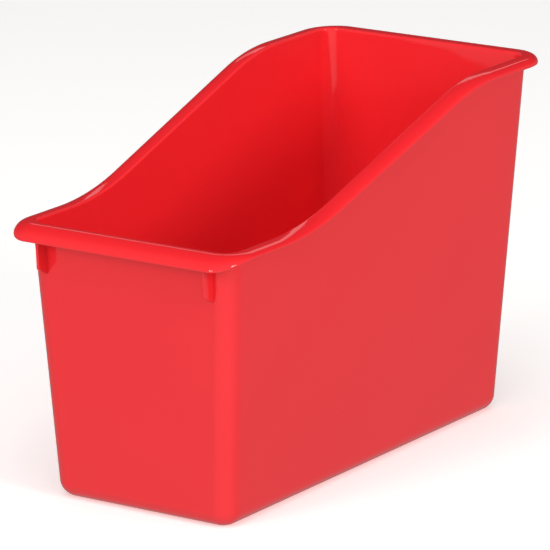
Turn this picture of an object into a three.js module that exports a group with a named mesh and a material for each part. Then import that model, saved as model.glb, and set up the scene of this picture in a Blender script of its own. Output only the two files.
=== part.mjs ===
// Open bin for books and art supplies: a drafted tub with a low front and a high rear, a turned-down
// rim that follows the same rise, and stacking ribs under the deep end lips. It is one plastic
// moulding, built here as its floor, walls, rim lengths and ribs. Millimetres, +Z up, front at -Y,
// origin on the plane that the bin stands on, at the middle of its overall length and width.
import * as THREE from "three";

// Overall sizes
const LENGTH = 292.4; // front lip to rear lip
const WIDTH = 144.6; // across the side rims at the rear
const REAR_HEIGHT = 190.2;
const FRONT_HEIGHT = 142;

// Tub
const WALL = 2.3;
const FLOOR = 2.5;
const DRAFT = 0.06; // outward lean of every wall, mm for each mm of height
const CORNER_RADIUS = 10; // outside, the same all the way up
const FLOOR_EDGE_RADIUS = 8; // outside, where the walls turn into the floor
const FOOT_WIDTH = 6; // flat ring that the bin stands on
const FOOT_HEIGHT = 0.8; // how far the panel inside the ring is raised
const UPRIGHT_BAND = 1; // upright part of the floor pan above its rounded edges

// Rise of the rim along the sides
const FRONT_LEVEL = 46.9; // level length at the front
const REAR_LEVEL = 55.4; // level length at the rear
const LOWER_BEND_RADIUS = 158.6;
const UPPER_BEND_RADIUS = 120.9;

// Rim
const FRONT_OVERHANG = 11.3;
const SIDE_OVERHANG_LOW = 7.2; // along the low part of the sides
const SIDE_OVERHANG_HIGH = 8.2; // along the high part of the sides
const REAR_OVERHANG = 9.4;
const FRONT_DROP = 7;
const SIDE_DROP_LOW = 2.7;
const SIDE_DROP_HIGH = 3.9;
const REAR_DROP = 5.1;
const FRONT_LIP_CORNER_RADIUS = 18; // outside of the lip, seen from above
const REAR_LIP_CORNER_RADIUS = 23;
const LIP_THICKNESS = 1.7;
const CREST = 0.8; // the rim's highest line is this far out from the outside of the wall
const INNER_EDGE_RADIUS = 1.2; // from the inside of the wall to the flat top of the rim
const RIM_DEPTH = 3.2; // the walls end and the rim begins this far below the top

// Shape of the lip's section: 1 is a quarter of an ellipse, less is squarer and more is flatter
const FRONT_LIP_POWER = 1.25;
const SIDE_RIM_POWER = 1;
const REAR_LIP_POWER = 0.6;

// Stacking ribs
const RIB_THICKNESS = 1.5;
const RIB_DEPTH = 7; // from the wall out to the rib's outer edge
const RIB_INSET = 1.2; // from where the corner starts to turn in to the rib
const RIB_REACH = 25.5; // from the top of the rim down to the rib's lowest point
const RIB_CHAMFER = 3.9; // how much higher the rib's outer edge ends
const CLEARANCE = 0.3; // between a rib and the wall or lip that it stands against

// Fineness of the curved stretches
const CORNER_STEPS = 6; // an even number, so that a corner can be shared by two walls
const BEND_STEPS = 6;
const RUN_STEPS = 3;
const EDGE_STEPS = 5;
const LIP_STEPS = 6;
const INNER_EDGE_STEPS = 2;
const SMALLEST_RADIUS = 2;

const RED = 0xe4262d;

// The floor pan ends and the walls begin above its rounded edges, outside and inside
const FLOOR_PAN_HEIGHT =
  Math.max(FLOOR_EDGE_RADIUS, FOOT_HEIGHT + FLOOR + FLOOR_EDGE_RADIUS - WALL) + UPRIGHT_BAND;

// Outside faces of the tub where its draft planes meet the floor plane
const HALF_WIDTH = WIDTH / 2 - SIDE_OVERHANG_HIGH - DRAFT * (REAR_HEIGHT - SIDE_DROP_HIGH);
const FRONT_FACE = -LENGTH / 2 + FRONT_OVERHANG + DRAFT * (FRONT_HEIGHT - FRONT_DROP);
const REAR_FACE = LENGTH / 2 - REAR_OVERHANG - DRAFT * (REAR_HEIGHT - REAR_DROP);

// The rim rises between two level stretches: a lower bend, a straight run and an upper bend.
// Its angle is the one at which both bends are tangent to the run and to the levels.
const riseStart = -LENGTH / 2 + FRONT_LEVEL;
const riseEnd = LENGTH / 2 - REAR_LEVEL;
const run = riseEnd - riseStart;
const rise = REAR_HEIGHT - FRONT_HEIGHT;
const roomForBends = (run ** 2 + rise ** 2) / (2 * rise);
const bendScale = Math.min(1, roomForBends / (LOWER_BEND_RADIUS + UPPER_BEND_RADIUS));
const lowerBend = LOWER_BEND_RADIUS * bendScale;
const upperBend = UPPER_BEND_RADIUS * bendScale;
const bends = lowerBend + upperBend;
const riseAngle =
  Math.atan2(run, bends - rise) - Math.acos(bends / Math.hypot(run, bends - rise));
const runStart = riseStart + lowerBend * Math.sin(riseAngle);
const runEnd = riseEnd - upperBend * Math.sin(riseAngle);

// Height of the top of the rim at a place along the length.
function rimHeight(y) {
  if (y <= riseStart) return FRONT_HEIGHT;
  if (y < runStart) {
    return FRONT_HEIGHT + lowerBend - Math.sqrt(lowerBend ** 2 - (y - riseStart) ** 2);
  }
  if (y < runEnd) {
    const bendRise = lowerBend * (1 - Math.cos(riseAngle));
    return FRONT_HEIGHT + bendRise + (y - runStart) * Math.tan(riseAngle);
  }
  if (y < riseEnd) {
    return REAR_HEIGHT - upperBend + Math.sqrt(upperBend ** 2 - (riseEnd - y) ** 2);
  }
  return REAR_HEIGHT;
}

// Size and shape of the lip: those of the side or of the end, blended through the corners.
function lipSize(sideY, normalY, height) {
  const isFront = sideY < 0;
  const endShare = normalY ** 2;
  const riseShare = (height - FRONT_HEIGHT) / rise;
  const mix = (low, high, share) => low + (high - low) * share;
  const sideOverhang = mix(SIDE_OVERHANG_LOW, SIDE_OVERHANG_HIGH, riseShare);
  const sideDrop = mix(SIDE_DROP_LOW, SIDE_DROP_HIGH, riseShare);
  return {
    overhang: mix(sideOverhang, isFront ? FRONT_OVERHANG : REAR_OVERHANG, endShare),
    drop: mix(sideDrop, isFront ? FRONT_DROP : REAR_DROP, endShare),
    power: mix(SIDE_RIM_POWER, isFront ? FRONT_LIP_POWER : REAR_LIP_POWER, endShare),
  };
}

// A station is a place along the outline, seen from above: the sides that it belongs to
// (sideX, sideY), the outward direction and the lip there. A side's station has a fixed y.
// Spread is how fast the corner's radius grows with the offset outside the wall.
function cornerStation(sideX, sideY, angle) {
  const normalX = Math.cos(angle);
  const normalY = Math.sin(angle);
  const height = sideY < 0 ? FRONT_HEIGHT : REAR_HEIGHT;
  const lip = lipSize(sideY, normalY, height);
  const lipRadius = sideY < 0 ? FRONT_LIP_CORNER_RADIUS : REAR_LIP_CORNER_RADIUS;
  const spread = (lipRadius - CORNER_RADIUS) / lip.overhang;
  return { sideX, sideY, normalX, normalY, height, lip, spread };
}

function sideStation(sideX, y) {
  const height = rimHeight(y);
  const lip = lipSize(0, 0, height);
  return { sideX, sideY: 0, normalX: sideX, normalY: 0, fixedY: y, height, lip, spread: 1 };
}

// The point of a station at a height, offset outwards (or inwards) from the drafted outside face.
function pointAt(station, offset, z) {
  const growth = offset > 0 ? offset * station.spread : offset;
  const radius = Math.max(CORNER_RADIUS + growth, SMALLEST_RADIUS);
  const centreShift = offset - radius + DRAFT * z;
  const face = station.sideY < 0 ? FRONT_FACE : REAR_FACE;
  const cornerX = station.sideX * (HALF_WIDTH + centreShift) + radius * station.normalX;
  const cornerY = face + station.sideY * centreShift + radius * station.normalY;
  return [cornerX, station.fixedY ?? cornerY, z];
}

// The stations of a corner, turning anticlockwise from one share of the quarter turn to another.
function cornerStations(sideX, sideY, from, to) {
  const startAngle = Math.atan2(sideY, sideX) - Math.PI / 4;
  const stations = [];
  for (let i = from * CORNER_STEPS; i <= to * CORNER_STEPS; i++) {
    const angle = startAngle + ((Math.PI / 2) * i) / CORNER_STEPS;
    stations.push(cornerStation(sideX, sideY, angle));
  }
  return stations;
}

// The stations along a side wall between its corners, from front to rear.
function sideStations(sideX) {
  const spread = (from, to, steps) =>
    Array.from({ length: steps }, (_, i) => from + ((to - from) * i) / steps);
  const places = [
    ...spread(riseStart, runStart, BEND_STEPS),
    ...spread(runStart, runEnd, RUN_STEPS),
    ...spread(runEnd, riseEnd, BEND_STEPS),
    riseEnd,
  ];
  return places.map((y) => sideStation(sideX, y));
}

// The outline in four stretches. Each runs from the middle of one corner to the middle of the next.
const stretches = {
  front: [...cornerStations(-1, -1, 0.5, 1), ...cornerStations(1, -1, 0, 0.5)],
  right: [
    ...cornerStations(1, -1, 0.5, 1),
    ...sideStations(1),
    ...cornerStations(1, 1, 0, 0.5),
  ],
  rear: [...cornerStations(1, 1, 0.5, 1), ...cornerStations(-1, 1, 0, 0.5)],
  left: [
    ...cornerStations(-1, 1, 0.5, 1),
    ...sideStations(-1).reverse(),
    ...cornerStations(-1, -1, 0, 0.5),
  ],
};
const outline = Object.values(stretches).flatMap((stations) => stations.slice(0, -1));

function solidGeometry(vertices, faces) {
  const geometry = new THREE.BufferGeometry();
  geometry.setAttribute("position", new THREE.Float32BufferAttribute(vertices.flat(), 3));
  geometry.setIndex(faces.flat());
  geometry.computeVertexNormals();
  return geometry;
}

// Two triangles for each side of a section, between two neighbouring sections.
function bandFaces(firstRow, secondRow, count) {
  const faces = [];
  for (let j = 0; j < count; j++) {
    const next = (j + 1) % count;
    faces.push([firstRow + j, secondRow + next, secondRow + j]);
    faces.push([firstRow + j, firstRow + next, secondRow + next]);
  }
  return faces;
}

// A length of wall or rim: one closed section at every station, with a flat cut at both ends.
// A section lists [offset, height] pairs anticlockwise, with the offset to the right.
function stretchGeometry(stations, sectionAt) {
  const sections = stations.map(sectionAt);
  const count = sections[0].length;
  const vertices = stations.flatMap((station, i) =>
    sections[i].map(([offset, z]) => pointAt(station, offset, z)),
  );
  const capFaces = (section, row, flip) => {
    const contour = section.map(([offset, z]) => new THREE.Vector2(offset, z));
    const triangles = THREE.ShapeUtils.triangulateShape(contour, []);
    return triangles.map(([a, b, c]) => (flip ? [a, c, b] : [a, b, c]).map((k) => row + k));
  };
  const faces = capFaces(sections[0], 0, false);
  for (let i = 1; i < stations.length; i++) {
    faces.push(...bandFaces(i * count, (i - 1) * count, count));
  }
  faces.push(...capFaces(sections.at(-1), (stations.length - 1) * count, true));
  return solidGeometry(vertices, faces);
}

// A pan made of rings around the whole outline, closed by a point in the middle of the first
// and last ring. Each ring is an [offset, height] pair.
function panGeometry(rings) {
  const count = outline.length;
  const vertices = rings.flatMap(([offset, z]) => outline.map((s) => pointAt(s, offset, z)));
  const middleY = (FRONT_FACE + REAR_FACE) / 2;
  const firstMiddle = vertices.push([0, middleY, rings[0][1]]) - 1;
  const lastMiddle = vertices.push([0, middleY, rings.at(-1)[1]]) - 1;
  const lastRow = (rings.length - 1) * count;
  const faces = [];
  for (let i = 0; i < count; i++) {
    const next = (i + 1) % count;
    faces.push([firstMiddle, next, i]);
    faces.push([lastMiddle, lastRow + i, lastRow + next]);
  }
  for (let row = 1; row < rings.length; row++) {
    faces.push(...bandFaces((row - 1) * count, row * count, count));
  }
  return solidGeometry(vertices, faces);
}

// Quarter turn of the edge between the floor and the walls, from the floor up to the wall.
function floorEdge(radius, floorLevel, wallOffset) {
  return Array.from({ length: EDGE_STEPS + 1 }, (_, i) => {
    const angle = ((Math.PI / 2) * i) / EDGE_STEPS;
    return [
      wallOffset - radius * (1 - Math.sin(angle)),
      floorLevel + radius * (1 - Math.cos(angle)),
    ];
  });
}

function floorPan() {
  const footOuter = -FLOOR_EDGE_RADIUS;
  const footInner = footOuter - FOOT_WIDTH;
  const innerEdgeRadius = FLOOR_EDGE_RADIUS - WALL;
  const floorLevel = FOOT_HEIGHT + FLOOR;
  return panGeometry([
    [footInner - FOOT_HEIGHT, FOOT_HEIGHT],
    [footInner, 0],
    ...floorEdge(FLOOR_EDGE_RADIUS, 0, 0),
    [0, FLOOR_PAN_HEIGHT],
    [-WALL, FLOOR_PAN_HEIGHT],
    ...floorEdge(innerEdgeRadius, floorLevel, -WALL).reverse(),
  ]);
}

function wallSection(station) {
  const top = station.height - RIM_DEPTH;
  return [
    [-WALL, FLOOR_PAN_HEIGHT],
    [0, FLOOR_PAN_HEIGHT],
    [0, top],
    [-WALL, top],
  ];
}

// The lip's curve from its crest out and down, as offsets from the wall and places below the top
// of the rim. It stops at an offset, or at its lower edge.
function lipCurve({ overhang, drop, power }, inset, stopOffset = Infinity) {
  const reach = overhang - CREST - inset;
  const stopShare = Math.min((stopOffset - CREST) / reach, 1);
  const lastAngle = Math.asin(stopShare ** (1 / power));
  return Array.from({ length: LIP_STEPS + 1 }, (_, i) => {
    const angle = (lastAngle * i) / LIP_STEPS;
    const out = Math.sin(angle) ** power;
    const up = Math.max(Math.cos(angle), 0) ** power;
    return [CREST + reach * out, -drop + (drop - inset) * up];
  });
}

// The rim turns over from the inside of the wall, out and down, and is hollow underneath.
function rimSection(station) {
  const innerEdge = Array.from({ length: INNER_EDGE_STEPS + 1 }, (_, i) => {
    const angle = ((Math.PI / 2) * i) / INNER_EDGE_STEPS;
    return [
      -WALL + INNER_EDGE_RADIUS * (1 - Math.sin(angle)),
      -INNER_EDGE_RADIUS * (1 - Math.cos(angle)),
    ];
  });
  const section = [
    [-WALL, -RIM_DEPTH],
    [0, -RIM_DEPTH],
    [0, -LIP_THICKNESS],
    ...lipCurve(station.lip, LIP_THICKNESS),
    ...lipCurve(station.lip, 0).reverse(),
    ...innerEdge,
  ];
  return section.map(([offset, below]) => [offset, station.height + below]);
}

// A flat gusset that stands on an end wall, with its top tucked up under the lip. Its outline is
// drawn outwards from the wall and up to the top of the rim, and leans with the draft.
function ribGeometry(sideY) {
  const lip = lipSize(sideY, sideY, sideY < 0 ? FRONT_HEIGHT : REAR_HEIGHT);
  const inset = LIP_THICKNESS + CLEARANCE;
  const depth = Math.min(RIB_DEPTH, lip.overhang - inset);
  const points = [
    [CLEARANCE, -RIB_REACH],
    [depth, -RIB_REACH + RIB_CHAMFER],
    ...lipCurve(lip, inset, depth).reverse(),
    [CLEARANCE, -inset],
  ];
  const outlinePoints = points.map(([offset, below]) => {
    return new THREE.Vector2(offset + DRAFT * below, below);
  });
  const geometry = new THREE.ExtrudeGeometry(new THREE.Shape(outlinePoints), {
    depth: RIB_THICKNESS,
    bevelEnabled: false,
  });
  return geometry.translate(0, 0, -RIB_THICKNESS / 2);
}

// Ribs stand a little inside the place where the corners of the wall and lip start to turn.
function placeRib(rib, sideX, sideY) {
  const isFront = sideY < 0;
  const height = isFront ? FRONT_HEIGHT : REAR_HEIGHT;
  const face = isFront ? FRONT_FACE : REAR_FACE;
  const lipTurn = isFront
    ? FRONT_LIP_CORNER_RADIUS - FRONT_OVERHANG
    : REAR_LIP_CORNER_RADIUS - REAR_OVERHANG;
  const cornerStart = HALF_WIDTH + DRAFT * height - Math.max(CORNER_RADIUS, lipTurn);
  rib.rotation.set(Math.PI / 2, 0, (sideY * Math.PI) / 2, "ZYX");
  rib.position.set(
    sideX * (cornerStart - RIB_INSET - RIB_THICKNESS / 2),
    face + sideY * DRAFT * height,
    height,
  );
}

function makeMesh(name, geometry) {
  const material = new THREE.MeshStandardMaterial({ color: RED, roughness: 0.28, metalness: 0 });
  const mesh = new THREE.Mesh(geometry, material);
  mesh.name = name;
  return mesh;
}

const bin = new THREE.Group();
bin.add(makeMesh("floor_pan", floorPan()));
for (const [side, wallName, rimName] of [
  ["front", "front_wall", "front_lip"],
  ["rear", "rear_wall", "rear_lip"],
  ["left", "left_wall", "left_rim"],
  ["right", "right_wall", "right_rim"],
]) {
  bin.add(makeMesh(wallName, stretchGeometry(stretches[side], wallSection)));
  bin.add(makeMesh(rimName, stretchGeometry(stretches[side], rimSection)));
}
for (const [name, sideX, sideY] of [
  ["front_left_rib", -1, -1],
  ["front_right_rib", 1, -1],
  ["rear_left_rib", -1, 1],
  ["rear_right_rib", 1, 1],
]) {
  const rib = makeMesh(name, ribGeometry(sideY));
  placeRib(rib, sideX, sideY);
  bin.add(rib);
}
export default bin;
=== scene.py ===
"""The looks of an open bin for books and art supplies, moulded in red polypropylene.

It is laid out as an add-on: sizes and colours are properties, each group of pieces has an operator,
and a panel in the sidebar lists them. Metres, +Z up, front at -Y, in the frame of the CAD model.
"""

import math
from collections import namedtuple

import bmesh
import bpy
from bpy.props import FloatProperty, FloatVectorProperty, PointerProperty, StringProperty
from mathutils import Matrix, Vector


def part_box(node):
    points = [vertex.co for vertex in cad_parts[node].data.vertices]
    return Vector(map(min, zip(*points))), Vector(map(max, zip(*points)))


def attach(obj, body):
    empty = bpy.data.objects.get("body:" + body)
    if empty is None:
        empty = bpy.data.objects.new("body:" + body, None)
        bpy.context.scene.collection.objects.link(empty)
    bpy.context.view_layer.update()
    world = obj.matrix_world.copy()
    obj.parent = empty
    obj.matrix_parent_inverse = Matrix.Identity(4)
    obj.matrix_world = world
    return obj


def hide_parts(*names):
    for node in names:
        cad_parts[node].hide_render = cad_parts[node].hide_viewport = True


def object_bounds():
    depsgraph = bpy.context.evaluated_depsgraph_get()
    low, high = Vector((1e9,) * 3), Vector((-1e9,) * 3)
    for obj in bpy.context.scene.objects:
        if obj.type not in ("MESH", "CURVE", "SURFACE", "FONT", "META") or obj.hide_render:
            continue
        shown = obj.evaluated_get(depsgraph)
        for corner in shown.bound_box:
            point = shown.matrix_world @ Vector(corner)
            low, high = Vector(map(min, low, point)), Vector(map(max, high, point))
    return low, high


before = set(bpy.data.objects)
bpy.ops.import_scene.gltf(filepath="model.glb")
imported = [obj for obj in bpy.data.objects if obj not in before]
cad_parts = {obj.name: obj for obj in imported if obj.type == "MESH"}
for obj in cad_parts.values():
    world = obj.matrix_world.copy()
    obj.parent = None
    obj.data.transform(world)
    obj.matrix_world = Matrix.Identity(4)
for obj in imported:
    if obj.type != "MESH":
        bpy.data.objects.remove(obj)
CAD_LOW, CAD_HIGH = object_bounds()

bl_info = {
    "name": "Open Storage Bin",
    "version": (1, 0, 0),
    "blender": (4, 5, 0),
    "location": "View3D > Sidebar > Storage Bin",
    "description": "Builds a moulded bin with a rising, turned-down rim and stacking ribs",
    "category": "Add Mesh",
}

MM = 0.001
TUB_NODES = ("floor_pan", "front_wall", "rear_wall", "left_wall", "right_wall")
RIM_NODES = ("front_lip", "rear_lip", "left_rim", "right_rim")
FRONT, REAR = -1, 1
LEFT, RIGHT = -1, 1

# Edges that turn by more than this stay sharp, and points closer than this become one
CREASE = math.radians(35)
MERGE_DISTANCE = 0.001 * MM

# The values that points carry through the trees, which a finished piece doesn't need
CARRIED = ("base", "outward", "side", "top", "lip", "spread", "place", "growth", "inset", "turn")


# Properties ---------------------------------------------------------------------------------------


def millimetres(name, description, value):
    """A length property whose default is given in millimetres."""
    return FloatProperty(
        name=name, description=description, default=value * MM, min=0, subtype="DISTANCE", unit="LENGTH"
    )


def degrees(name, description, value):
    """An angle property whose default is given in degrees."""
    return FloatProperty(
        name=name, description=description, default=math.radians(value), subtype="ANGLE", unit="ROTATION"
    )


def shape_power(name, description, value):
    """A section's shape: 1 is a quarter of an ellipse, less is squarer and more is flatter."""
    return FloatProperty(name=name, description=description, default=value, min=0.2, max=2)


class TubSizes(bpy.types.PropertyGroup):
    """Sizes of the floor and the walls"""

    wall: millimetres("Wall", "Thickness of every wall", 2.3)
    floor: millimetres("Floor", "Thickness of the floor", 2.5)
    draft: FloatProperty(
        name="Draft", description="Outward lean of the walls, per unit of height", default=0.06
    )
    corner_radius: millimetres("Corner Radius", "Outside radius of the upright corners", 10)
    floor_edge_radius: millimetres("Floor Edge", "Outside radius from the walls to the floor", 8)
    foot_width: millimetres("Foot Width", "Flat ring that the bin stands on", 6)
    foot_height: millimetres("Foot Height", "How far the panel inside the ring is raised", 0.8)


class RimSizes(bpy.types.PropertyGroup):
    """Sizes of the rim's rise and of its turned-down edge"""

    front_level: millimetres("Front Level", "Level length at the front", 46.9)
    rear_level: millimetres("Rear Level", "Level length at the rear", 55.4)
    lower_bend: millimetres("Lower Bend", "Radius where the rim starts to rise", 158.6)
    upper_bend: millimetres("Upper Bend", "Radius where the rim levels out", 120.9)
    front_overhang: millimetres("Front Overhang", "Reach of the front lip past the wall", 11.3)
    side_overhang_low: millimetres("Low Side Overhang", "Reach of the side rims at the front", 7.2)
    side_overhang_high: millimetres("High Side Overhang", "Reach of the side rims at the rear", 8.2)
    rear_overhang: millimetres("Rear Overhang", "Reach of the rear lip past the wall", 9.4)
    front_drop: millimetres("Front Drop", "Height of the front lip", 7)
    side_drop_low: millimetres("Low Side Drop", "Height of the side rims at the front", 2.7)
    side_drop_high: millimetres("High Side Drop", "Height of the side rims at the rear", 3.9)
    rear_drop: millimetres("Rear Drop", "Height of the rear lip", 5.1)
    front_corner: millimetres("Front Corner", "Radius of the front lip's corners from above", 18)
    rear_corner: millimetres("Rear Corner", "Radius of the rear lip's corners from above", 23)
    front_power: shape_power("Front Power", "Section of the front lip", 1.25)
    side_power: shape_power("Side Power", "Section of the side rims", 1)
    rear_power: shape_power("Rear Power", "Section of the rear lip", 0.6)
    lip_thickness: millimetres("Lip Thickness", "Thickness of the turned-down edge", 1.7)
    lip_edge: millimetres("Lip Edge", "Radius along the lower edges of the lip", 0.4)
    crest: millimetres("Crest", "From the outside of the wall out to the rim's highest line", 0.8)
    inner_edge: millimetres("Inner Edge", "Radius from the inside of the wall to the top", 1.2)
    depth: millimetres("Depth", "How far below the top the rim meets the walls", 3.2)


class RibSizes(bpy.types.PropertyGroup):
    """Sizes of the stacking ribs"""

    thickness: millimetres("Thickness", "Thickness of a rib", 1.5)
    depth: millimetres("Depth", "From the wall out to the rib's outer edge", 7)
    inset: millimetres("Inset", "From where the corners start to turn in to the rib", 1.2)
    reach: millimetres("Reach", "From the top of the rim down to the rib's tip", 25.5)
    chamfer: millimetres("Chamfer", "How much higher the outer edge ends", 3.9)
    tuck: millimetres("Tuck", "From the top of the rim down to the rib's head", 3.2)
    sink: millimetres("Sink", "How far a rib runs into the wall behind it", 0.4)
    edge: millimetres("Edge", "Radius along the rib's edges", 0.3)


class PlasticFinish(bpy.types.PropertyGroup):
    """Colour and surface of the plastic"""

    colour: StringProperty(name="Colour", description="sRGB hex colour of the pigment", default="#F52B33")
    shade: StringProperty(
        name="Shade", description="sRGB hex colour where the pigment is densest", default="#F12830"
    )
    roughness: FloatProperty(
        name="Roughness", description="Roughness of the moulded surface", default=0.06, min=0, max=1
    )
    clouds: millimetres("Clouds", "Size of the flow clouds in the pigment", 60)
    ripples: millimetres("Ripples", "Size of the ripples that the mould leaves", 7)
    ripple_height: millimetres("Ripple Height", "Height of the ripples", 0.05)
    scuffs: millimetres("Scuffs", "Size of the scuffs' grain", 1.2)


class StudioSettings(bpy.types.PropertyGroup):
    """Camera, floor and lights"""

    azimuth: degrees("Azimuth", "Turn of the camera to the right of the front", 34.094)
    elevation: degrees("Elevation", "Angle of the camera above the horizon", 15.082)
    roll: degrees("Roll", "Turn of the camera about its own axis", -0.335)
    distance: FloatProperty(
        name="Distance", description="From the camera to its aim", default=2.4909, unit="LENGTH"
    )
    lens: FloatProperty(name="Lens", description="Focal length in millimetres", default=321.7)
    aim: FloatVectorProperty(
        name="Aim",
        description="The camera's aim, from the middle of the bin",
        default=(-0.31 * MM, -6.64 * MM, -0.65 * MM),
        subtype="XYZ",
        unit="LENGTH",
    )
    floor_size: FloatProperty(
        name="Floor Size", description="Side of the floor", default=14, unit="LENGTH"
    )
    floor_colour: StringProperty(
        name="Floor Colour", description="sRGB hex colour of the floor", default="#F7F7F7"
    )
    floor_glow: FloatProperty(name="Floor Glow", description="Light from the floor itself", default=0.4)
    lamp_colour: StringProperty(
        name="Lamp Colour", description="sRGB hex colour of the two main softboxes", default="#FFF0E4"
    )


# The bin's shape ----------------------------------------------------------------------------------


# How far the rear lip's squarer section bulges past its lower edge, because of the draft
REAR_LIP_BULGE = 0.05 * MM

CORNER_STEPS = 16
BEND_STEPS = 22
RUN_STEPS = 10
LEVEL_STEPS = 6
EDGE_STEPS = 10
LIP_STEPS = 18
SMALL_STEPS = 4
INNER_STEPS = 10

# One end of the bin: its wall's outside face at the floor plane, the height of the rim, the lip's
# overhang, drop and power, and the radius of the lip's corners
End = namedtuple("End", "face height lip corner")


def mix(low, high, share):
    """The value a share of the way from low to high."""
    return low + (high - low) * share


class BinShape:
    """The bin's faces and rim line, worked out from its sizes.

    A level is a height above the floor plane, and an offset is measured outwards from the
    outside face of the wall.
    """

    def __init__(self, scene):
        self.tub = scene.bin_tub
        self.rim = rim = scene.bin_rim
        self.front_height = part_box("front_lip")[1].z
        self.rear_height = CAD_HIGH.z
        front_lean = self.tub.draft * (self.front_height - rim.front_drop + rim.lip_edge)
        rear_lean = self.tub.draft * (self.rear_height - rim.rear_drop + rim.lip_edge)
        side_lean = self.tub.draft * (self.rear_height - rim.side_drop_high + rim.lip_edge)
        self.half_width = CAD_HIGH.x - rim.side_overhang_high - side_lean
        self.ends = {
            FRONT: End(
                CAD_LOW.y + rim.front_overhang + front_lean,
                self.front_height,
                (rim.front_overhang, rim.front_drop, rim.front_power),
                rim.front_corner,
            ),
            REAR: End(
                CAD_HIGH.y - rim.rear_overhang - rear_lean - REAR_LIP_BULGE,
                self.rear_height,
                (rim.rear_overhang, rim.rear_drop, rim.rear_power),
                rim.rear_corner,
            ),
        }
        self.set_rise()

    def set_rise(self):
        """The angle of the straight run at which both bends are tangent to it and to the levels."""
        self.rise_start = CAD_LOW.y + self.rim.front_level
        self.rise_end = CAD_HIGH.y - self.rim.rear_level
        run = self.rise_end - self.rise_start
        rise = self.rear_height - self.front_height
        bends = self.rim.lower_bend + self.rim.upper_bend
        turn = math.acos(bends / math.hypot(run, bends - rise))
        self.rise_angle = math.atan2(run, bends - rise) - turn
        self.run_start = self.rise_start + self.rim.lower_bend * math.sin(self.rise_angle)
        self.run_end = self.rise_end - self.rim.upper_bend * math.sin(self.rise_angle)

    def rim_height(self, y):
        """Height of the top of the rim at a place along the length."""
        lower, upper = self.rim.lower_bend, self.rim.upper_bend
        along_lower = min(max(y, self.rise_start), self.run_start) - self.rise_start
        along_run = min(max(y, self.run_start), self.run_end) - self.run_start
        along_upper = self.rise_end - min(max(y, self.run_end), self.rise_end)
        height = self.front_height + lower - math.sqrt(lower**2 - along_lower**2)
        height += along_run * math.tan(self.rise_angle)
        height += math.sqrt(upper**2 - along_upper**2) - upper * math.cos(self.rise_angle)
        return height

    def side_lip(self, height):
        """Overhang, drop and power of the side rims where the rim is at a height."""
        rim = self.rim
        rise_share = (height - self.front_height) / (self.rear_height - self.front_height)
        return (
            mix(rim.side_overhang_low, rim.side_overhang_high, rise_share),
            mix(rim.side_drop_low, rim.side_drop_high, rise_share),
            rim.side_power,
        )

    def corner_stations(self, side, end):
        """The stations of one corner, turning anticlockwise, with the side's lip blended to the end's."""
        face, height, end_lip, lip_radius = self.ends[end]
        radius = self.tub.corner_radius
        middle = Vector((side * (self.half_width - radius), face - end * radius, 0))
        start = math.atan2(end, side) - math.pi / 4
        for i in range(CORNER_STEPS + 1):
            angle = start + math.pi / 2 * i / CORNER_STEPS
            outward = Vector((math.cos(angle), math.sin(angle), 0))
            lip = tuple(mix(a, b, outward.y**2) for a, b in zip(self.side_lip(height), end_lip))
            yield {
                "base": middle + outward * radius,
                "outward": outward,
                "side": (side, end, 0),
                "top": height,
                "lip": lip,
                "spread": (lip_radius - radius) / lip[0],
            }

    def side_stations(self, side):
        """The stations between the corners of one side, from the front to the rear."""
        corner = self.tub.corner_radius
        stops = (
            (self.ends[FRONT].face + corner, self.rise_start, LEVEL_STEPS),
            (self.rise_start, self.run_start, BEND_STEPS),
            (self.run_start, self.run_end, RUN_STEPS),
            (self.run_end, self.rise_end, BEND_STEPS),
            (self.rise_end, self.ends[REAR].face - corner, LEVEL_STEPS),
        )
        places = [mix(start, end, i / steps) for start, end, steps in stops for i in range(steps)]
        for y in places[1:]:
            height = self.rim_height(y)
            yield {
                "base": Vector((side * self.half_width, y, 0)),
                "outward": (side, 0, 0),
                "side": (side, 0, 0),
                "top": height,
                "lip": self.side_lip(height),
                "spread": 1.0,
            }

    def outline(self):
        """Every station around the bin, anticlockwise seen from above."""
        return [
            *self.corner_stations(LEFT, FRONT),
            *self.corner_stations(RIGHT, FRONT),
            *self.side_stations(RIGHT),
            *self.corner_stations(RIGHT, REAR),
            *self.corner_stations(LEFT, REAR),
            *reversed(list(self.side_stations(LEFT))),
        ]

    def rib_points(self, end, sizes):
        """Where one end's two ribs stand: on the wall at the top of the rim, turned to face outwards.

        They are inside the place where the corner starts to turn, at the wall or at the lip.
        """
        face, height, (overhang, _, _), lip_radius = self.ends[end]
        lean = self.tub.draft * height
        turn_start = max(self.tub.corner_radius, lip_radius - overhang)
        spread = self.half_width + lean - turn_start - sizes.inset - sizes.thickness / 2
        return [
            {
                "base": Vector((side * spread, face + end * lean, height)),
                "turn": (math.pi / 2, 0, end * math.pi / 2),
            }
            for side in (LEFT, RIGHT)
        ]


def quarter(steps):
    """The sine and cosine at even steps through a quarter turn."""
    angles = [math.pi / 2 * i / steps for i in range(steps + 1)]
    return [(math.sin(angle), math.cos(angle)) for angle in angles]


def at_level(offset, level):
    """A point of a section at a height above the floor plane."""
    return {"place": (offset, level, 0), "growth": (0, 0, 0), "inset": 0.0}


def below_top(offset, level):
    """A point of a section at a place below the top of the rim."""
    return {"place": (offset, level, 1), "growth": (0, 0, 0), "inset": 0.0}


def on_lip(offset, level, across, up, inset=0.0):
    """A point on the lip's curve, which takes the overhang, drop and power of each station.

    Across and up are its share of the way out from the crest, and up from the lower edge.
    """
    return {"place": (offset, level, 1), "growth": (across, up, 1), "inset": inset}


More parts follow.
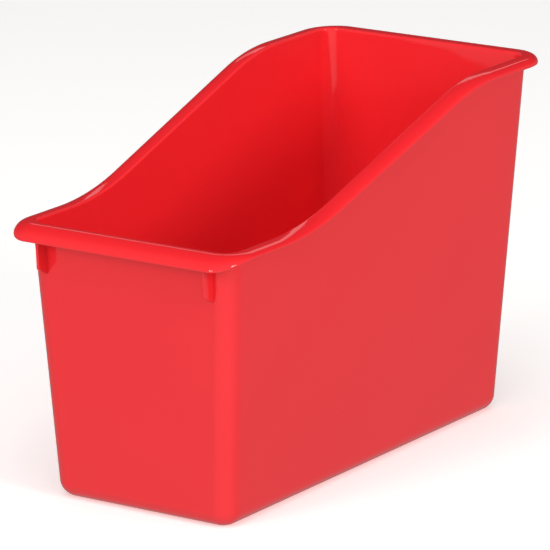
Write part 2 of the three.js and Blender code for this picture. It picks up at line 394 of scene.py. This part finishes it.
def tub_section(shape):
    """From the floor inside, up the wall, over the joint, down outside and round to the foot ring."""
    tub = shape.tub
    inner_radius = tub.floor_edge_radius - tub.wall
    floor_level = tub.foot_height + tub.floor
    foot_outer = -tub.floor_edge_radius
    foot_inner = foot_outer - tub.foot_width
    inside = [
        at_level(-tub.wall - inner_radius * (1 - s), floor_level + inner_radius * (1 - c))
        for s, c in quarter(EDGE_STEPS)
    ]
    joint = [below_top(-tub.wall, -shape.rim.depth), below_top(0, -shape.rim.depth)]
    outside = [
        at_level(-tub.floor_edge_radius * (1 - s), tub.floor_edge_radius * (1 - c))
        for s, c in reversed(quarter(EDGE_STEPS))
    ]
    foot = [at_level(foot_inner, 0), at_level(foot_inner - tub.foot_height, tub.foot_height)]
    return [at_level(foot_inner, floor_level), *inside, *joint, *outside, *foot]


def rim_section(shape):
    """The rim's closed section: over the inner edge, round the lip and back up to the wall."""
    wall, depth = shape.tub.wall, shape.rim.depth
    thickness, edge = shape.rim.lip_thickness, shape.rim.lip_edge
    radius = shape.rim.inner_edge
    inner = [below_top(-wall + radius * (1 - c), -radius * (1 - s)) for s, c in quarter(INNER_STEPS)]
    outer = [on_lip(0, 0, s, c) for s, c in quarter(LIP_STEPS)]
    outer_edge = [on_lip(-edge * (1 - c), -edge * s, 1, 0) for s, c in quarter(SMALL_STEPS)[1:]]
    back = edge - thickness
    inner_edge = [on_lip(back - edge * s, -edge * c, 1, 0) for s, c in quarter(SMALL_STEPS)]
    under = [on_lip(0, 0, s, c, thickness) for s, c in reversed(quarter(LIP_STEPS))]
    wall_outside = [below_top(0, -thickness), below_top(0, -depth)]
    return [below_top(-wall, -depth), *inner, *outer, *outer_edge, *inner_edge, *under, *wall_outside]


# Geometry -----------------------------------------------------------------------------------------


def add_node(tree, kind, inputs=None, **settings):
    """A new node in a tree, with its settings, and its inputs set to values or linked.

    An input that is given a node is linked to that node's first output.
    """
    node = tree.nodes.new(kind)
    for key, value in settings.items():
        setattr(node, key, value)
    for key, value in (inputs or {}).items():
        if isinstance(value, bpy.types.Node):
            value = value.outputs[0]
        if isinstance(value, bpy.types.NodeSocket):
            tree.links.new(value, node.inputs[key])
        else:
            node.inputs[key].default_value = value
    return node


def line_object(name, points, closed):
    """A mesh line whose points carry every named value as an attribute."""
    positions = [point.get("base", (0, 0, i * MM)) for i, point in enumerate(points)]
    edges = [(i, i + 1) for i in range(len(points) - 1)]
    if closed:
        edges.append((len(points) - 1, 0))
    mesh = bpy.data.meshes.new(name)
    mesh.from_pydata(positions, edges, [])
    for key, value in points[0].items():
        if isinstance(value, float):
            attribute = mesh.attributes.new(key, "FLOAT", "POINT")
            attribute.data.foreach_set("value", [point[key] for point in points])
        else:
            attribute = mesh.attributes.new(key, "FLOAT_VECTOR", "POINT")
            attribute.data.foreach_set("vector", [x for point in points for x in point[key]])
    line = bpy.data.objects.new(name, mesh)
    bpy.context.scene.collection.objects.link(line)
    return line


def new_tree(name, inputs):
    """A geometry tree with named inputs, and the sockets that give their values."""
    tree = bpy.data.node_groups.new(name, "GeometryNodeTree")
    tree.interface.new_socket("Geometry", in_out="INPUT", socket_type="NodeSocketGeometry")
    for label, kind in inputs.items():
        tree.interface.new_socket(label, in_out="INPUT", socket_type=kind)
    tree.interface.new_socket("Geometry", in_out="OUTPUT", socket_type="NodeSocketGeometry")
    return tree, add_node(tree, "NodeGroupInput").outputs


def finish_tree(tree, geometry, given):
    """Ends a tree in plain, smooth-shaded geometry with its material."""
    smooth = add_node(tree, "GeometryNodeSetShadeSmooth", {"Geometry": geometry})
    real = add_node(tree, "GeometryNodeRealizeInstances", {"Geometry": smooth})
    painted = add_node(
        tree, "GeometryNodeSetMaterial", {"Geometry": real, "Material": given["Material"]}
    )
    add_node(tree, "NodeGroupOutput", {0: painted})
    return tree


def sweep_tree():
    """Carries a section around the bin: each point goes out and up from its station by its own sizes."""
    tree, given = new_tree(
        "Sweep Around Bin",
        {
            "Section": "NodeSocketObject",
            "Draft": "NodeSocketFloat",
            "Crest": "NodeSocketFloat",
            "Lip Edge": "NodeSocketFloat",
            "Tightest Offset": "NodeSocketFloat",
            "Material": "NodeSocketMaterial",
        },
    )
    path = add_node(tree, "GeometryNodeMeshToCurve", {"Mesh": given["Geometry"]})
    section = add_node(tree, "GeometryNodeObjectInfo", {"Object": given["Section"]})
    profile = add_node(tree, "GeometryNodeMeshToCurve", {"Mesh": section.outputs["Geometry"]})
    swept = add_node(tree, "GeometryNodeCurveToMesh", {"Curve": path, "Profile Curve": profile})

    # What the stations and the section's points carry, with three of the vectors taken apart
    carried = {
        name: add_node(tree, "GeometryNodeInputNamedAttribute", {"Name": name}, data_type=kind)
        for kind, names in (
            ("FLOAT_VECTOR", ("base", "outward", "side", "lip", "place", "growth")),
            ("FLOAT", ("top", "spread", "inset")),
        )
        for name in names
    }
    place, growth, lip = (
        add_node(tree, "ShaderNodeSeparateXYZ", {0: carried[name]}).outputs
        for name in ("place", "growth", "lip")
    )

    # A point on the lip's curve is at the crest plus the reach times its share across, and at the
    # lower edge plus the height of the curve times its share up. Other points have no such share.
    reach = add_node(tree, "ShaderNodeMath", {0: lip["X"], 1: given["Crest"]}, operation="SUBTRACT")
    reach = add_node(tree, "ShaderNodeMath", {0: reach, 1: carried["inset"]}, operation="SUBTRACT")
    across = add_node(tree, "ShaderNodeMath", {0: growth["X"], 1: lip["Z"]}, operation="POWER")
    along_curve = {0: reach, 1: across, 2: given["Crest"]}
    curve_out = add_node(tree, "ShaderNodeMath", along_curve, operation="MULTIPLY_ADD")
    own_offset = {0: curve_out, 1: growth["Z"], 2: place["X"]}
    offset = add_node(tree, "ShaderNodeMath", own_offset, operation="MULTIPLY_ADD")

    drop = add_node(tree, "ShaderNodeMath", {0: lip["Y"], 1: given["Lip Edge"]}, operation="SUBTRACT")
    height = add_node(tree, "ShaderNodeMath", {0: drop, 1: carried["inset"]}, operation="SUBTRACT")
    up = add_node(tree, "ShaderNodeMath", {0: growth["Y"], 1: lip["Z"]}, operation="POWER")
    above_edge = add_node(tree, "ShaderNodeMath", {0: height, 1: up}, operation="MULTIPLY")
    curve_level = add_node(tree, "ShaderNodeMath", {0: above_edge, 1: drop}, operation="SUBTRACT")
    own_level = {0: curve_level, 1: growth["Z"], 2: place["Y"]}
    level = add_node(tree, "ShaderNodeMath", own_level, operation="MULTIPLY_ADD")
    from_top = {0: place["Z"], 1: carried["top"], 2: level}
    level = add_node(tree, "ShaderNodeMath", from_top, operation="MULTIPLY_ADD")

    # Outside the wall the corner's radius grows by the spread, and inside it shrinks to a limit.
    outside = add_node(tree, "ShaderNodeMath", {0: offset, 1: 0.0}, operation="MAXIMUM")
    inside = add_node(tree, "ShaderNodeMath", {0: offset, 1: 0.0}, operation="MINIMUM")
    inside = add_node(
        tree, "ShaderNodeMath", {0: inside, 1: given["Tightest Offset"]}, operation="MAXIMUM"
    )
    growing = {0: outside, 1: carried["spread"], 2: inside}
    rounded = add_node(tree, "ShaderNodeMath", growing, operation="MULTIPLY_ADD")
    squared = add_node(tree, "ShaderNodeMath", {0: offset, 1: rounded}, operation="SUBTRACT")
    leaning = {0: level, 1: given["Draft"], 2: squared}
    moved_out = add_node(tree, "ShaderNodeMath", leaning, operation="MULTIPLY_ADD")

    # Each step adds a direction times a distance to the place so far.
    position = carried["base"]
    for way, distance in (
        (carried["outward"], rounded),
        (carried["side"], moved_out),
        ((0, 0, 1), level),
    ):
        step = {0: way, 1: distance, 2: position}
        position = add_node(tree, "ShaderNodeVectorMath", step, operation="MULTIPLY_ADD")
    placed = add_node(tree, "GeometryNodeSetPosition", {"Geometry": swept, "Position": position})
    return finish_tree(tree, placed, given)


def rib_tree():
    """Stands a flat gusset with a slanted foot on every point, facing outwards."""
    sizes = ("Thickness", "Depth", "Reach", "Chamfer", "Sink", "Tuck", "Draft")
    inputs = dict.fromkeys(sizes, "NodeSocketFloat")
    tree, given = new_tree("Stand Ribs On Points", {**inputs, "Material": "NodeSocketMaterial"})

    # The gusset's corners, each an offset from the wall and a height below its top. The wall's draft
    # moves them in as they go down.
    behind = add_node(tree, "ShaderNodeMath", {0: 0.0, 1: given["Sink"]}, operation="SUBTRACT")
    foot = add_node(tree, "ShaderNodeMath", {0: 0.0, 1: given["Reach"]}, operation="SUBTRACT")
    head = add_node(tree, "ShaderNodeMath", {0: 0.0, 1: given["Tuck"]}, operation="SUBTRACT")
    tip = add_node(tree, "ShaderNodeMath", {0: foot, 1: given["Chamfer"]}, operation="ADD")
    corners = {}
    outer = given["Depth"]
    for i, (offset, below) in enumerate(((behind, foot), (outer, tip), (outer, head), (behind, head))):
        leaning = {0: below, 1: given["Draft"], 2: offset}
        across = add_node(tree, "ShaderNodeMath", leaning, operation="MULTIPLY_ADD")
        corners[f"Point {i + 1}"] = add_node(tree, "ShaderNodeCombineXYZ", {"X": across, "Y": below})
    gusset = add_node(tree, "GeometryNodeCurvePrimitiveQuadrilateral", corners, mode="POINTS")

    # The thickness runs along Z from one face of the gusset to the other.
    faces = {}
    for label, share in (("Start", -0.5), ("End", 0.5)):
        half = add_node(
            tree, "ShaderNodeMath", {0: given["Thickness"], 1: share}, operation="MULTIPLY"
        )
        faces[label] = add_node(tree, "ShaderNodeCombineXYZ", {"Z": half})
    through = add_node(tree, "GeometryNodeCurvePrimitiveLine", faces)
    solid = add_node(
        tree,
        "GeometryNodeCurveToMesh",
        {"Curve": through, "Profile Curve": gusset, "Fill Caps": True},
    )
    turn = add_node(
        tree, "GeometryNodeInputNamedAttribute", {"Name": "turn"}, data_type="FLOAT_VECTOR"
    )
    ribs = add_node(
        tree,
        "GeometryNodeInstanceOnPoints",
        {"Points": given["Geometry"], "Instance": solid, "Rotation": turn},
    )
    return finish_tree(tree, ribs, given)


def run_tree(line, tree, values, name, bevel=0):
    """Runs a tree on a line and returns its result as a plain mesh object, without the helper."""
    modifier = line.modifiers.new(tree.name, "NODES")
    modifier.node_group = tree
    for item in tree.interface.items_tree:
        if item.in_out == "INPUT" and item.name in values:
            modifier[item.identifier] = values[item.name]
    if bevel:
        softened = line.modifiers.new("Soft Edges", "BEVEL")
        softened.width = bevel
        softened.segments = 3
        softened.limit_method = "ANGLE"
    depsgraph = bpy.context.evaluated_depsgraph_get()
    mesh = bpy.data.meshes.new_from_object(line.evaluated_get(depsgraph))
    bpy.data.objects.remove(line)
    mesh.name = name
    piece = bpy.data.objects.new(name, mesh)
    bpy.context.scene.collection.objects.link(piece)
    return piece


def close_and_turn_out(piece):
    """Fills open rings, points every face outwards and keeps edges sharper than the crease sharp."""
    mesh = piece.data
    solid = bmesh.new()
    solid.from_mesh(mesh)
    bmesh.ops.remove_doubles(solid, verts=solid.verts, dist=MERGE_DISTANCE)
    rings = [edge for edge in solid.edges if edge.is_boundary]
    # Each lid becomes a fan of triangles, because long thin ones would show as lines.
    lids = bmesh.ops.holes_fill(solid, edges=rings, sides=0)["faces"]
    bmesh.ops.poke(solid, faces=lids)
    bmesh.ops.recalc_face_normals(solid, faces=solid.faces)
    if solid.calc_volume(signed=True) < 0:
        bmesh.ops.reverse_faces(solid, faces=solid.faces)
    if any(not edge.is_manifold for edge in solid.edges):
        raise RuntimeError(f"{piece.name} isn't a closed body")
    for face in solid.faces:
        face.smooth = True
    solid.to_mesh(mesh)
    solid.free()
    for name in CARRIED:
        if name in mesh.attributes:
            mesh.attributes.remove(mesh.attributes[name])
    mesh.set_sharp_from_angle(angle=CREASE)


def settle(piece, *nodes):
    """Hangs the piece on the root body and hides the nodes that it stands for."""
    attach(piece, "root")
    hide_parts(*nodes)


# Materials ----------------------------------------------------------------------------------------


# Roughness of the most polished and the most scuffed spots, against the finish's own
POLISHED, SCUFFED = -0.01, 0.02


def linear(hex_colour):
    """An sRGB hex colour as linear RGBA."""
    channels = [int(hex_colour[i : i + 2], 16) / 255 for i in (1, 3, 5)]
    return (*[c / 12.92 if c <= 0.04045 else ((c + 0.055) / 1.055) ** 2.4 for c in channels], 1)


def moulded_polypropylene(finish):
    """Injection-moulded polypropylene from a polished mould, coloured right through.

    The pigment is even but for faint flow clouds. The mould's polish gives a soft gloss with slow
    ripples, and handling leaves hairline scuffs that only the gloss shows.
    """
    name = "Moulded Polypropylene"
    if name in bpy.data.materials:
        return bpy.data.materials[name]
    material = bpy.data.materials.new(name)
    material.use_nodes = True
    tree = material.node_tree
    tree.nodes.clear()
    place = add_node(tree, "ShaderNodeTexCoord").outputs["Object"]

    clouds = {"Vector": place, "Scale": 1 / finish.clouds, "Detail": 3.0}
    density = add_node(tree, "ShaderNodeTexNoise", clouds).outputs["Fac"]
    pigment = add_node(
        tree,
        "ShaderNodeMix",
        {"Factor": density, "A": linear(finish.colour), "B": linear(finish.shade)},
        data_type="RGBA",
    )

    # Scuffs are far finer than this, so their grain is drawn as coarse as it needs to show.
    scuffs = {"Vector": place, "Scale": 1 / finish.scuffs, "Detail": 2.0}
    gloss = add_node(
        tree,
        "ShaderNodeMapRange",
        {
            "Value": add_node(tree, "ShaderNodeTexNoise", scuffs).outputs["Fac"],
            "From Min": 0.3,
            "From Max": 0.7,
            "To Min": finish.roughness + POLISHED,
            "To Max": finish.roughness + SCUFFED,
        },
    )

    ripples = {"Vector": place, "Scale": 1 / finish.ripples, "Detail": 1.0}
    height = add_node(tree, "ShaderNodeTexNoise", ripples).outputs["Fac"]
    relief = {"Strength": 0.25, "Distance": finish.ripple_height, "Height": height}
    bump = add_node(tree, "ShaderNodeBump", relief)
    shader = add_node(
        tree,
        "ShaderNodeBsdfPrincipled",
        {
            "Base Color": pigment.outputs["Result"],
            "Roughness": gloss,
            "IOR": 1.49,
            "Normal": bump,
        },
    )
    add_node(tree, "ShaderNodeOutputMaterial", {"Surface": shader})
    return material


def opal_acrylic(colour, glow):
    """The opal acrylic of a light table: matt, white and faintly lit from below."""
    material = bpy.data.materials.new("Opal Acrylic")
    material.use_nodes = True
    shader = material.node_tree.nodes["Principled BSDF"]
    shader.inputs["Base Color"].default_value = linear(colour)
    shader.inputs["Roughness"].default_value = 0.9
    shader.inputs["Specular IOR Level"].default_value = 0.1
    shader.inputs["Emission Color"].default_value = linear(colour)
    shader.inputs["Emission Strength"].default_value = glow
    return material


# Operators ----------------------------------------------------------------------------------------


class STORAGEBIN_OT_tub(bpy.types.Operator):
    """Moulds the floor and the four walls"""

    bl_idname = "storagebin.tub"
    bl_label = "Mould Tub"

    def execute(self, context):
        sweep(context.scene, "tub", tub_section, False, TUB_NODES)
        return {"FINISHED"}


class STORAGEBIN_OT_rim(bpy.types.Operator):
    """Turns the rim over and down all round the bin"""

    bl_idname = "storagebin.rim"
    bl_label = "Turn Down Rim"

    def execute(self, context):
        sweep(context.scene, "turned_down_rim", rim_section, True, RIM_NODES)
        return {"FINISHED"}


def sweep(scene, name, section_of, closed, nodes):
    """Makes a piece by carrying a section around the bin."""
    shape = BinShape(scene)
    section = line_object(f"{name}_section", section_of(shape), closed)
    line = line_object(f"{name}_line", shape.outline(), True)
    values = {
        "Section": section,
        "Draft": scene.bin_tub.draft,
        "Crest": scene.bin_rim.crest,
        "Lip Edge": scene.bin_rim.lip_edge,
        "Tightest Offset": -scene.bin_tub.corner_radius,
        "Material": moulded_polypropylene(scene.bin_finish),
    }
    piece = run_tree(line, sweep_tree(), values, name)
    bpy.data.objects.remove(section)
    close_and_turn_out(piece)
    settle(piece, *nodes)


class STORAGEBIN_OT_ribs(bpy.types.Operator):
    """Stands the stacking ribs under the front and rear lips"""

    bl_idname = "storagebin.ribs"
    bl_label = "Add Stacking Ribs"

    def execute(self, context):
        scene = context.scene
        sizes = scene.bin_ribs
        shape = BinShape(scene)
        values = {
            "Thickness": sizes.thickness,
            "Depth": sizes.depth,
            "Reach": sizes.reach,
            "Chamfer": sizes.chamfer,
            "Sink": sizes.sink,
            "Tuck": sizes.tuck,
            "Draft": scene.bin_tub.draft,
            "Material": moulded_polypropylene(scene.bin_finish),
        }
        for end, word in ((FRONT, "front"), (REAR, "rear")):
            line = line_object(f"{word}_rib_points", shape.rib_points(end, sizes), False)
            piece = run_tree(line, rib_tree(), values, f"{word}_stacking_ribs", sizes.edge)
            close_and_turn_out(piece)
            settle(piece, f"{word}_left_rib", f"{word}_right_rib")
        return {"FINISHED"}


def direction(azimuth, elevation):
    """The way from the bin to something at an azimuth and elevation."""
    level = math.cos(elevation)
    return Vector((math.sin(azimuth) * level, -math.cos(azimuth) * level, math.sin(elevation)))


# A soft light that faces the bin: the way to it in degrees, its distance and the size of its face in
# metres, and the brightness of its face, where 1 is plain white
Light = namedtuple("Light", "name azimuth elevation distance width height brightness")
SOFTBOXES = (
    Light("left_softbox", -10.4, 21.4, 2.0, 0.5, 0.64, 8.4),
    Light("right_softbox", 78.6, 21.4, 2.0, 0.5, 0.64, 14.2),
)
REAR_STRIP = Light("rear_strip", -147, 29, 2.2, 1.0, 0.3, 0.7)
PANELS = (
    Light("fill", 22, 38, 2.2, 2.0, 2.0, 1.0),
    Light("ceiling", 0, 88, 2.2, 2.0, 2.0, 1.2),
)


def add_light(light, colour="#FFFFFF"):
    """Hangs a light in the studio, out of the camera's sight."""
    way = direction(math.radians(light.azimuth), math.radians(light.elevation))
    lamp = bpy.data.lights.new(light.name, "AREA")
    lamp.shape = "RECTANGLE"
    lamp.size = light.width
    lamp.size_y = light.height
    lamp.energy = light.brightness * math.pi * light.width * light.height
    lamp.color = linear(colour)[:3]
    softbox = bpy.data.objects.new(light.name, lamp)
    softbox.location = (CAD_LOW + CAD_HIGH) / 2 + way * light.distance
    softbox.rotation_mode = "QUATERNION"
    softbox.rotation_quaternion = way.to_track_quat("Z", "Y")
    softbox.visible_camera = False
    bpy.context.scene.collection.objects.link(softbox)
    return softbox


# The studio's walls: their brightness, from facing away from their bright side to facing it
BRIGHT_SIDE = Vector((0.35, -0.6, -0.6)).normalized()
SURROUNDINGS = (
    (-1.0, 0.02),
    (-0.85, 0.04),
    (-0.6, 0.29),
    (-0.15, 0.41),
    (0.5, 0.585),
    (0.83, 0.78),
    (1.0, 0.78),
)


class STORAGEBIN_OT_studio(bpy.types.Operator):
    """Sets up the camera, the floor and the lights"""

    bl_idname = "storagebin.studio"
    bl_label = "Set Up Studio"

    def execute(self, context):
        studio = context.scene.bin_studio
        add_camera(context.scene, studio)
        add_floor(studio)
        add_surroundings(context.scene)
        for softbox in SOFTBOXES:
            add_light(softbox, studio.lamp_colour)
        add_light(REAR_STRIP)
        for panel in PANELS:
            add_light(panel).visible_glossy = False
        context.scene.view_settings.view_transform = "Standard"
        return {"FINISHED"}


def add_camera(scene, studio):
    """The camera, turned about its own axis by the roll."""
    data = bpy.data.cameras.new("camera")
    data.lens = studio.lens
    data.clip_end = 100
    camera = bpy.data.objects.new("camera", data)
    way = direction(studio.azimuth, studio.elevation)
    across = Vector((math.cos(studio.azimuth), math.sin(studio.azimuth), 0))
    upward = way.cross(across)
    turned = Matrix((across, upward, way)).transposed() @ Matrix.Rotation(studio.roll, 3, "Z")
    camera.rotation_mode = "QUATERNION"
    camera.rotation_quaternion = turned.to_quaternion()
    camera.location = (CAD_LOW + CAD_HIGH) / 2 + Vector(studio.aim) + way * studio.distance
    scene.collection.objects.link(camera)
    scene.camera = camera


def add_floor(studio):
    """A pale floor that isn't part of the bin."""
    half = studio.floor_size / 2
    mesh = bpy.data.meshes.new("floor")
    corners = [(-half, -half, 0), (half, -half, 0), (half, half, 0), (-half, half, 0)]
    mesh.from_pydata(corners, [], [range(4)])
    mesh.materials.append(opal_acrylic(studio.floor_colour, studio.floor_glow))
    floor = bpy.data.objects.new("floor", mesh)
    floor.visible_glossy = False
    floor.visible_diffuse = False
    bpy.context.scene.collection.objects.link(floor)


def add_surroundings(scene):
    """Pale walls around the studio: brightest low down in front, darkest high up at the right rear."""
    world = bpy.data.worlds.new("studio")
    world.use_nodes = True
    scene.world = world
    tree = world.node_tree
    way = add_node(tree, "ShaderNodeTexCoord").outputs["Generated"]
    towards = add_node(tree, "ShaderNodeVectorMath", {0: way, 1: BRIGHT_SIDE}, operation="DOT_PRODUCT")
    facing = {"Value": towards.outputs["Value"], "From Min": -1.0, "From Max": 1.0}
    share = add_node(tree, "ShaderNodeMapRange", facing)
    brightness = add_node(tree, "ShaderNodeValToRGB", {"Fac": share})
    ramp = brightness.color_ramp
    ramp.elements.remove(ramp.elements[1])
    for i, (facing, level) in enumerate(SURROUNDINGS):
        place = (facing + 1) / 2
        stop = ramp.elements[0] if i == 0 else ramp.elements.new(place)
        stop.position = place
        stop.color = (level, level, level, 1)
    tree.links.new(brightness.outputs["Color"], tree.nodes["Background"].inputs["Color"])


class STORAGEBIN_PT_panel(bpy.types.Panel):
    """Lists the bin's sizes, colours and operators"""

    bl_label = "Storage Bin"
    bl_space_type = "VIEW_3D"
    bl_region_type = "UI"
    bl_category = "Storage Bin"

    def draw(self, context):
        scene = context.scene
        for group, operator in (
            (scene.bin_tub, STORAGEBIN_OT_tub),
            (scene.bin_rim, STORAGEBIN_OT_rim),
            (scene.bin_ribs, STORAGEBIN_OT_ribs),
            (scene.bin_finish, None),
            (scene.bin_studio, STORAGEBIN_OT_studio),
        ):
            box = self.layout.box()
            for key in group.__annotations__:
                box.prop(group, key)
            if operator:
                box.operator(operator.bl_idname)


GROUPS = {
    "bin_tub": TubSizes,
    "bin_rim": RimSizes,
    "bin_ribs": RibSizes,
    "bin_finish": PlasticFinish,
    "bin_studio": StudioSettings,
}
OPERATORS = (STORAGEBIN_OT_tub, STORAGEBIN_OT_rim, STORAGEBIN_OT_ribs, STORAGEBIN_OT_studio)


def register():
    for name, group in GROUPS.items():
        bpy.utils.register_class(group)
        setattr(bpy.types.Scene, name, PointerProperty(type=group))
    for operator in OPERATORS:
        bpy.utils.register_class(operator)
    bpy.utils.register_class(STORAGEBIN_PT_panel)


def unregister():
    bpy.utils.unregister_class(STORAGEBIN_PT_panel)
    for operator in reversed(OPERATORS):
        bpy.utils.unregister_class(operator)
    for name, group in GROUPS.items():
        delattr(bpy.types.Scene, name)
        bpy.utils.unregister_class(group)


def main():
    register()
    bpy.ops.storagebin.tub()
    bpy.ops.storagebin.rim()
    bpy.ops.storagebin.ribs()
    bpy.ops.storagebin.studio()


if __name__ == "__main__":
    main()
